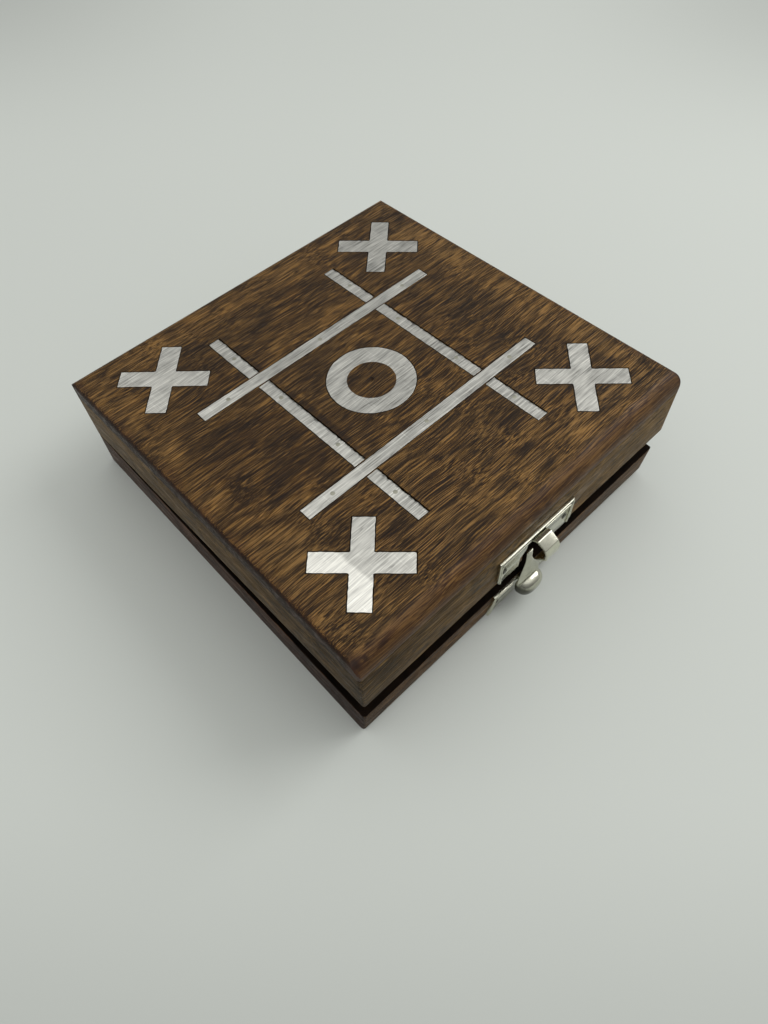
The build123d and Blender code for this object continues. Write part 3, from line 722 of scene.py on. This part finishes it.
def lay_inlays():
    half, long_half = STRIP_WIDTH / 2 - STAIN_LINE, ROW_LENGTH / 2 - STAIN_LINE
    bluntness, step, depth = ROW_CUT
    for side, (centre, turn) in ROWS.items():
        outline = turned(blunt(rectangle(-long_half, long_half, -half, half), bluntness), centre, turn)
        inlay_plate("inlay_long_" + side, filed(outline, step, depth, 1 + len(side)))

    def torn(outward):
        return TORN_DEPTH if outward.x > 0.9 else 0.0

    bluntness, step, depth = COLUMN_CUT
    front, back = ROWS["front"][0][1], ROWS["back"][0][1]
    stop = half + COLUMN_END_GAP + STAIN_LINE
    for side, (x, y0, y1) in COLUMNS.items():
        spans = {"front": (y0, front - stop), "middle": (front + stop, back - stop),
                 "back": (back + stop, y1)}
        for part, span in spans.items():
            outline = blunt(rectangle(x - half, x + half, *span), bluntness)
            outline = filed(outline, step, depth, len(side) + len(part), torn)
            inlay_plate(f"inlay_short_{side}_{part}", outline, finish="aluminium_column")
    bluntness, step, depth = CROSS_CUT
    for seed, (corner, (centre, turn)) in enumerate(CROSSES.items(), 11):
        outline = turned(blunt(cross_outline(), bluntness), centre, turn + math.pi / 4)
        finish = "aluminium_near" if corner == "left_front" else "aluminium"
        inlay_plate("inlay_cross_" + corner, filed(outline, step, depth, seed), finish=finish)
    rim = around((0, 0), RING_OUTER - STAIN_LINE, full_turn(RING_CORNERS))
    eye = around(RING_EYE_PLACE, RING_EYE, full_turn(RING_CORNERS, -1))
    inlay_plate("inlay_ring", filed(rim, RING_STEP, RING_DEPTH, 21), filed(eye, RING_STEP, EYE_DEPTH, 22),
                proud=RING_PROUD)


def new_group(name, inputs):
    """A geometry nodes tree with named inputs: the tree, the inputs' identifiers and their sockets."""
    tree = bpy.data.node_groups.new(name, "GeometryNodeTree")
    for way in ("OUTPUT", "INPUT"):
        tree.interface.new_socket(name="Geometry", in_out=way, socket_type="NodeSocketGeometry")
    ports = {}
    for label, kind in inputs.items():
        made = tree.interface.new_socket(name=label, in_out="INPUT", socket_type="NodeSocket" + kind)
        ports[label] = made.identifier
    return tree, ports, tree.nodes.new("NodeGroupInput").outputs


def finish_group(tree, geometry, finish):
    geometry = node(tree, "GeometryNodeRealizeInstances", {"Geometry": geometry}).outputs[0]
    geometry = node(tree, "GeometryNodeSetShadeSmooth", {"Geometry": geometry}).outputs[0]
    geometry = node(tree, "GeometryNodeSetMaterial", {"Geometry": geometry, "Material": finish}).outputs[0]
    tree.links.new(geometry, tree.nodes.new("NodeGroupOutput").inputs[0])


def grown(name, tree, ports, points, edges, settings):
    """What the tree makes on the points and edges; settings go to its inputs by identifier."""
    mesh = bpy.data.meshes.new(name)
    mesh.from_pydata(points, edges, [])
    thing = stand(name, mesh)
    change = thing.modifiers.new(name, "NODES")
    change.node_group = tree
    for label, value in settings.items():
        change[ports[label]] = value
    return baked(thing)


def stud_tree():
    """A pin or nail stands on every point, pointing down z before its turn."""
    tree, ports, given = new_group("pin_or_nail", {
        "Head Radius": "Float", "Head Height": "Float", "Crown": "Float", "Shank Radius": "Float",
        "Shank Length": "Float", "Turn": "Vector", "Uneven": "Float", "Seed": "Int", "Finish": "Material"})

    def moved(geometry, z):
        shift = node(tree, "ShaderNodeCombineXYZ", {2: z}).outputs[0]
        return node(tree, "GeometryNodeTransform", {"Geometry": geometry, "Translation": shift}).outputs[0]

    shank = node(tree, "GeometryNodeMeshCylinder", {
        "Vertices": 12, "Radius": given["Shank Radius"], "Depth": given["Shank Length"]}).outputs[0]
    shank = moved(shank, times(tree, given["Shank Length"], -0.5))
    sink = node(tree, "GeometryNodeMeshCone", {
        "Vertices": 20, "Radius Top": given["Head Radius"], "Radius Bottom": given["Shank Radius"],
        "Depth": given["Head Height"]}).outputs[0]
    sink = moved(sink, times(tree, given["Head Height"], -1.0))
    crown = node(tree, "GeometryNodeMeshUVSphere", {
        "Segments": 20, "Rings": 8, "Radius": given["Head Radius"]}).outputs[0]
    flatness = sums(tree, "DIVIDE", given["Crown"], given["Head Radius"])
    flat = node(tree, "ShaderNodeCombineXYZ", {0: 1.0, 1: 1.0, 2: flatness}).outputs[0]
    crown = node(tree, "GeometryNodeTransform", {"Geometry": crown, "Scale": flat}).outputs[0]
    whole = node(tree, "GeometryNodeJoinGeometry")
    for part in (shank, sink, crown):
        tree.links.new(part, whole.inputs[0])
    spin = node(tree, "FunctionNodeRandomValue", {"Seed": given["Seed"]}, data_type="FLOAT")
    spin.inputs[2].default_value, spin.inputs[3].default_value = 0.0, math.tau
    grow = node(tree, "FunctionNodeRandomValue", {"Seed": add(tree, given["Seed"], 1.0)}, data_type="FLOAT")
    grow.inputs[3].default_value = 1.0
    tree.links.new(sums(tree, "SUBTRACT", 1.0, given["Uneven"]), grow.inputs[2])
    spun = node(tree, "ShaderNodeCombineXYZ", {2: spin.outputs[1]}).outputs[0]
    places = node(tree, "GeometryNodeMeshToPoints", {"Mesh": given["Geometry"]}).outputs[0]
    size = node(tree, "ShaderNodeCombineXYZ", {0: grow.outputs[1], 1: grow.outputs[1], 2: 1.0}).outputs[0]
    studs = node(tree, "GeometryNodeInstanceOnPoints", {
        "Points": places, "Instance": whole.outputs[0], "Scale": size}).outputs[0]
    for angle in (given["Turn"], spun):
        studs = node(tree, "GeometryNodeRotateInstances", {
            "Instances": studs, "Rotation": angle, "Local Space": True}).outputs[0]
    finish_group(tree, studs, given["Finish"])
    return tree, ports


def drive_studs(cad_name, tree, ports, places, sizes, swing, finish, body, seed):
    """Studs in place of the CAD node, at places in mm in the shut box, swung about x."""
    labels = ("Head Radius", "Head Height", "Crown", "Shank Radius", "Shank Length")
    settings = {label: size / 1000 for label, size in zip(labels, sizes)}
    settings.update({"Turn": (swing, 0, 0), "Uneven": 0.08, "Seed": seed, "Finish": finishes[finish]})
    points = [tuple(opened(body) @ Vector(place)) for place in places]
    made = grown(cad_name, tree, ports, points, [], settings)
    all_smooth(made)
    made.set_sharp_from_angle(angle=math.radians(40))
    put(cad_name + "_driven", made, finish, body, cad_name)


def drive_pins_and_nails():
    tree, ports = stud_tree()
    pins = []
    for (cx, cy), turn in ROWS.values():
        pins += [(cx + x * math.cos(turn), cy + x * math.sin(turn), LID_TOP) for x in PIN_PLACES_ON_ROW]
    for x, y0, y1 in COLUMNS.values():
        pins += [(x, (y0 + y1) / 2 + y, LID_TOP) for y in PIN_PLACES_ON_COLUMN]
    drive_studs("inlay_pins", tree, ports, pins, PIN_SIZES, -LID_AJAR, "pin", "lid", 3)
    quarter = math.pi / 2
    for seed, body in enumerate(("lid", "base")):
        swing = -LID_AJAR if body == "lid" else 0.0
        aside, y, z = FRONT_NAILS[body]
        places = [(x + CATCH_X, y, z) for x in (-aside, aside)]
        drive_studs(body + "_catch_nails", tree, ports, places, NAIL_SIZES, swing + quarter,
                    "nail", body, 7 + seed)
        places = [(hinge + x, HINGE_NAIL_Y, HINGE_NAIL_HEIGHT[body])
                  for hinge in HINGE_PLACES for x in (-7, 7)]
        drive_studs(body + "_hinge_nails", tree, ports, places, NAIL_SIZES, swing - quarter,
                    "nail", body, 9 + seed)


# The lever: Y and Z of its pin, and for the pin's hole and the room for the plate's ears
# a radius and half a width. The knob: its middle, half size and squareness, and the Y of
# the plate behind it.
PIVOT = (-65.2, 11.0)
PIN_HOLE = (0.68, 3.9)
EAR_ROOM = (1.3, 2.75)
EAR_ROOM_CORNERS = [(-61.0, 8.6), (-61.0, 12.45)]
KNOB_MIDDLE = (CATCH_X, -64.7, 8.85)
KNOB_REACH = (4.75, 4.1, 3.75)
KNOB_SQUARENESS = 0.74
KNOB_BACK = -63.93
LEVER_GRID = 0.11

# Height, half width, where the sides stand and how far the middle stands out: the
# lever's fan from the knob up to its nose.
FAN = [(10.6, 4.75, -64.75, 1.3), (12.2, 4.7, -64.7, 1.3), (14.0, 4.0, -64.35, 1.0),
       (15.7, 3.2, -64.05, 0.8), (17.4, 2.35, -63.75, 0.7), (19.0, 1.6, -63.45, 0.6),
       (20.3, 1.3, -63.2, 0.5), (22.3, 1.3, -62.95, 0.45), (23.85, 1.3, -62.75, 0.4)]


def along_fan(t):
    """FAN's numbers at t from 0 to 1, on a smooth curve through them."""
    at = t * (len(FAN) - 1)
    i = min(int(at), len(FAN) - 2)
    u = at - i
    a, b, c, d = FAN[max(i - 1, 0)], FAN[i], FAN[i + 1], FAN[min(i + 2, len(FAN) - 1)]
    return [0.5 * (2 * q + (r - p) * u + (2 * p - 5 * q + 4 * r - s) * u * u
                   + (3 * q - p - 3 * r + s) * u ** 3) for p, q, r, s in zip(a, b, c, d)]


def fan_of_sheet(shape):
    rings = []
    for k in range(29):
        z, half, side, bulge = along_fan(k / 28)
        ring = []
        for turn in [math.radians(v) for v in range(-90, 91, 10)]:
            ring.append((CATCH_X + half * math.sin(turn), side - bulge * math.cos(turn), z))
        for turn in [math.radians(v) for v in range(90, -91, -10)]:
            thick = 0.42 + 0.5 * math.cos(turn)
            ring.append((CATCH_X + (half - 0.12) * math.sin(turn), side - bulge * math.cos(turn) + thick, z))
        rings.append([shape.verts.new(p) for p in ring])
    for low, high in zip(rings, rings[1:]):
        skirt(shape, low, high)
    caps(shape, rings[0], rings[-1])


def knob(shape):
    """A blunt, squarish dome, flat against the plate behind it."""
    def push(v):
        return math.copysign(abs(v) ** KNOB_SQUARENESS, v)

    up = 24
    rings = []
    for k in range(1, up):
        lift = math.pi * (k / up - 0.5)
        wide, high = push(math.cos(lift)), push(math.sin(lift))
        ring = [(wide * push(math.cos(turn)), wide * push(math.sin(turn)), high) for turn in full_turn(48)]
        ring = [[c + r * v for c, r, v in zip(KNOB_MIDDLE, KNOB_REACH, p)] for p in ring]
        rings.append([shape.verts.new(p) for p in ring])
    for low, high in zip(rings, rings[1:]):
        skirt(shape, low, high)
    for ring, way in ((rings[0], -1), (rings[-1], 1)):
        tip = shape.verts.new((*KNOB_MIDDLE[:2], KNOB_MIDDLE[2] + way * KNOB_REACH[2]))
        for pair in zip(ring, ring[1:] + ring[:1]):
            shape.faces.new((*pair[::way], tip))
    for height, outward in ((0, (0, 1, 0)), (10.4, (0, 0.966, -0.257))):
        flat = bmesh.ops.bisect_plane(shape, geom=shape.verts[:] + shape.edges[:] + shape.faces[:],
                                      plane_co=(0, KNOB_BACK, height), plane_no=outward, clear_outer=True)
        rim = [e for e in flat["geom_cut"] if isinstance(e, bmesh.types.BMEdge)]
        bmesh.ops.contextual_create(shape, geom=rim)


def bar_along_x(name, outline, half):
    """A bar across the catch with the outline's section in Y and Z, to cut with."""
    shape = bmesh.new()
    left, right = [[shape.verts.new((CATCH_X + x, y, z)) for y, z in outline] for x in (-half, half)]
    skirt(shape, left, right)
    caps(shape, left, right)
    bmesh.ops.recalc_face_normals(shape, faces=shape.faces)
    shape.transform(METRES)
    return stand(name, mesh_of(shape, name))


def catch_lever():
    """Fan, knob and nose as one cast skin, hollow where the plate's ears hold it."""
    shape = bmesh.new()
    knob(shape)
    fan_of_sheet(shape)
    bmesh.ops.recalc_face_normals(shape, faces=shape.faces)
    shape.transform(METRES)
    thing = stand("catch_lever_cast", mesh_of(shape, "catch_lever"))
    ears = EAR_ROOM_CORNERS + around(PIVOT, EAR_ROOM[0], [math.radians(v) for v in range(90, 271, 15)])
    cutters = [bar_along_x("ear_room", ears, EAR_ROOM[1]),
               bar_along_x("pin_hole", around(PIVOT, PIN_HOLE[0], full_turn(24)), PIN_HOLE[1])]
    skin = thing.modifiers.new("one_skin", "REMESH")
    skin.mode = "VOXEL"
    skin.voxel_size = LEVER_GRID / 1000
    for cutter in cutters:
        cut = thing.modifiers.new(cutter.name, "BOOLEAN")
        cut.operation = "DIFFERENCE"
        cut.object = cutter
        cut.solver = "EXACT"
    soft = thing.modifiers.new("rounded", "SMOOTH")
    soft.factor = 0.5
    soft.iterations = 5
    made = baked(thing)
    for cutter in cutters:
        bpy.data.objects.remove(cutter)
    all_smooth(made)
    put("catch_lever_cast", made, "nickel_lever", "lever", "catch_lever")


def bead_tree():
    """A round bead follows every edge of a path."""
    tree, ports, given = new_group("pressed_bead", {
        "Bead Radius": "Float", "Corner Radius": "Float", "Finish": "Material"})
    path = node(tree, "GeometryNodeMeshToCurve", {"Mesh": given["Geometry"]}).outputs[0]
    path = node(tree, "GeometryNodeFilletCurve", {
        "Curve": path, "Radius": given["Corner Radius"], "Count": 5, "Limit Radius": True},
        mode="POLY").outputs[0]
    section = node(tree, "GeometryNodeCurvePrimitiveCircle", {
        "Resolution": 10, "Radius": given["Bead Radius"]}).outputs[0]
    bead = node(tree, "GeometryNodeCurveToMesh", {
        "Curve": path, "Profile Curve": section, "Fill Caps": True}).outputs[0]
    finish_group(tree, bead, given["Finish"])
    return tree, ports


# The beads: radius, radius of their corners, and paths in X, from the catch's middle,
# and Z.
BEAD_RADIUS = 0.22
BEAD_CORNER = 0.8
BEAD_PATHS = {
    "lid": [[(-15.05, 17.0), (-15.05, 25.95), (15.05, 25.95), (15.05, 17.0)],
            [(-14.3, 15.4), (-14.3, 24.4), (14.3, 24.4), (14.3, 15.4)]],
    "base": [[(-14.6, 3.4), (-13.55, 13.65), (-5.7, 13.65)], [(-13.8, 3.4), (-12.8, 12.1), (-5.7, 12.1)],
             [(5.7, 13.65), (13.55, 13.65), (14.6, 3.4)], [(5.7, 12.1), (12.8, 12.1), (13.8, 3.4)]],
}


def press_beads():
    """The bright lines pressed along both sides of each plate's border."""
    tree, ports = bead_tree()
    settings = {"Bead Radius": BEAD_RADIUS / 1000, "Corner Radius": BEAD_CORNER / 1000,
                "Finish": finishes["nickel"]}
    for body, paths in BEAD_PATHS.items():
        points, edges = [], []
        for path in paths:
            start = len(points)
            places = [Vector((x + CATCH_X, PLATE_FACE[body] - 0.02, z)) for x, z in path]
            points += [tuple(opened(body) @ place) for place in places]
            edges += [(i, i + 1) for i in range(start, len(points) - 1)]
        name = body + "_plate_bead"
        put(name, grown(name, tree, ports, points, edges, settings), "nickel", body)


def camera():
    """The photograph's camera, solved from the box's corners and edges."""
    data = bpy.data.cameras.new("photo_camera")
    data.sensor_width = 36.0
    data.sensor_fit = "AUTO"
    data.lens = 25.172
    data.clip_start, data.clip_end = 0.005, 20.0
    made = stand("photo_camera", data)
    made.location = (-0.095373, -0.100531, 0.201388)
    made.rotation_mode = "QUATERNION"
    made.rotation_quaternion = (0.8955578, 0.2441998, -0.1042552, -0.3570344)
    bpy.context.scene.camera = made


def table_top():
    """A pale table with painted shade: a little darker towards the camera and far behind the box."""
    mesh = bpy.data.meshes.new("table_top")
    mesh.from_pydata([(-3, -3, 0), (3, -3, 0), (3, 3, 0), (-3, 3, 0)], [], [(0, 1, 2, 3)])
    floor = stand("table_top", mesh)
    made, tree, shader = blank_material("pale_table")
    axes = axes_of(tree, node(tree, "ShaderNodeTexCoord").outputs["Object"])
    near = times(tree, add(tree, axes[0], axes[1]), -0.707)
    aside = sums(tree, "ABSOLUTE", times(tree, sums(tree, "SUBTRACT", axes[0], axes[1]), 0.707))
    corners = add(tree, 0.06, times(tree, between(tree, aside, 0.06, 0.26), 0.2))
    far = times(tree, between(tree, near, -0.15, -0.34), corners)
    painted_floor_shade = add(tree, times(tree, between(tree, near, 0.1, 0.19), 0.2), far)
    join(tree, tint(tree, painted_floor_shade, linear(206, 210, 204), (0, 0, 0, 1)), shader, "Base Color")
    matt(shader, 0.6, 0.15)
    mesh.materials.append(made)


def soft_lamp(name, place, aim, size, watts):
    lamp = bpy.data.lights.new(name, "AREA")
    lamp.shape = "RECTANGLE"
    lamp.size, lamp.size_y = size
    lamp.energy = watts
    made = stand(name, lamp)
    made.location = place
    made.rotation_mode = "QUATERNION"
    made.rotation_quaternion = (Vector(aim) - Vector(place)).to_track_quat("-Z", "Y")


def room():
    """A pale room: brightest overhead, dimmer towards its walls."""
    world = bpy.data.worlds.new("pale_room")
    world.use_nodes = True
    tree = world.node_tree
    tree.nodes.clear()
    out = node(tree, "ShaderNodeOutputWorld")
    axes = axes_of(tree, node(tree, "ShaderNodeTexCoord").outputs["Generated"])
    up = axes[2]
    light = ramp(tree, up, [
        (0.0, (0.40, 0.405, 0.40, 1)), (0.6, (0.56, 0.565, 0.56, 1)), (0.74, (0.84, 0.845, 0.84, 1)),
        (0.9, (1.14, 1.14, 1.13, 1)), (1.0, (1.26, 1.26, 1.25, 1))])
    near = sums(tree, "SUBTRACT", times(tree, add(tree, axes[0], axes[1]), -0.707), times(tree, up, 0.25))
    shade = sums(tree, "SUBTRACT", 1.0, times(tree, between(tree, near, -0.1, 0.55), 0.48))
    shade = node(tree, "ShaderNodeCombineColor", {0: shade, 1: shade, 2: shade}).outputs[0]
    light = tint(tree, 1.0, light, shade, "MULTIPLY")
    sky = node(tree, "ShaderNodeBackground", {"Color": light, "Strength": 1.0})
    tree.links.new(sky.outputs[0], out.inputs[0])
    bpy.context.scene.world = world


lay_inlays()
drive_pins_and_nails()
catch_lever()
press_beads()
for cad_name in list(frame["nodes"]):
    if "_rail_" in cad_name:
        eased(cad_name, 0.14)
    elif cad_name.startswith("piece_"):
        eased(cad_name, 0.5, 3)
    elif cad_name.startswith("divider_") or cad_name == "base_panel":
        eased(cad_name, 0.25)
    elif cad_name == "lid_catch_hook":
        eased(cad_name, 0.22, 3, 25)
    elif cad_name.endswith("catch_plate"):
        eased(cad_name, 0.1)
    elif cad_name.startswith("hinge_"):
        eased(cad_name, 0.12, 2, 35)
table_top()
soft_lamp("window_lamp", (0.75, -0.25, 0.85), (0, 0, 0.02), (0.6, 0.6), 4.3)
room()
camera()
bpy.context.scene.view_settings.view_transform = "Standard"
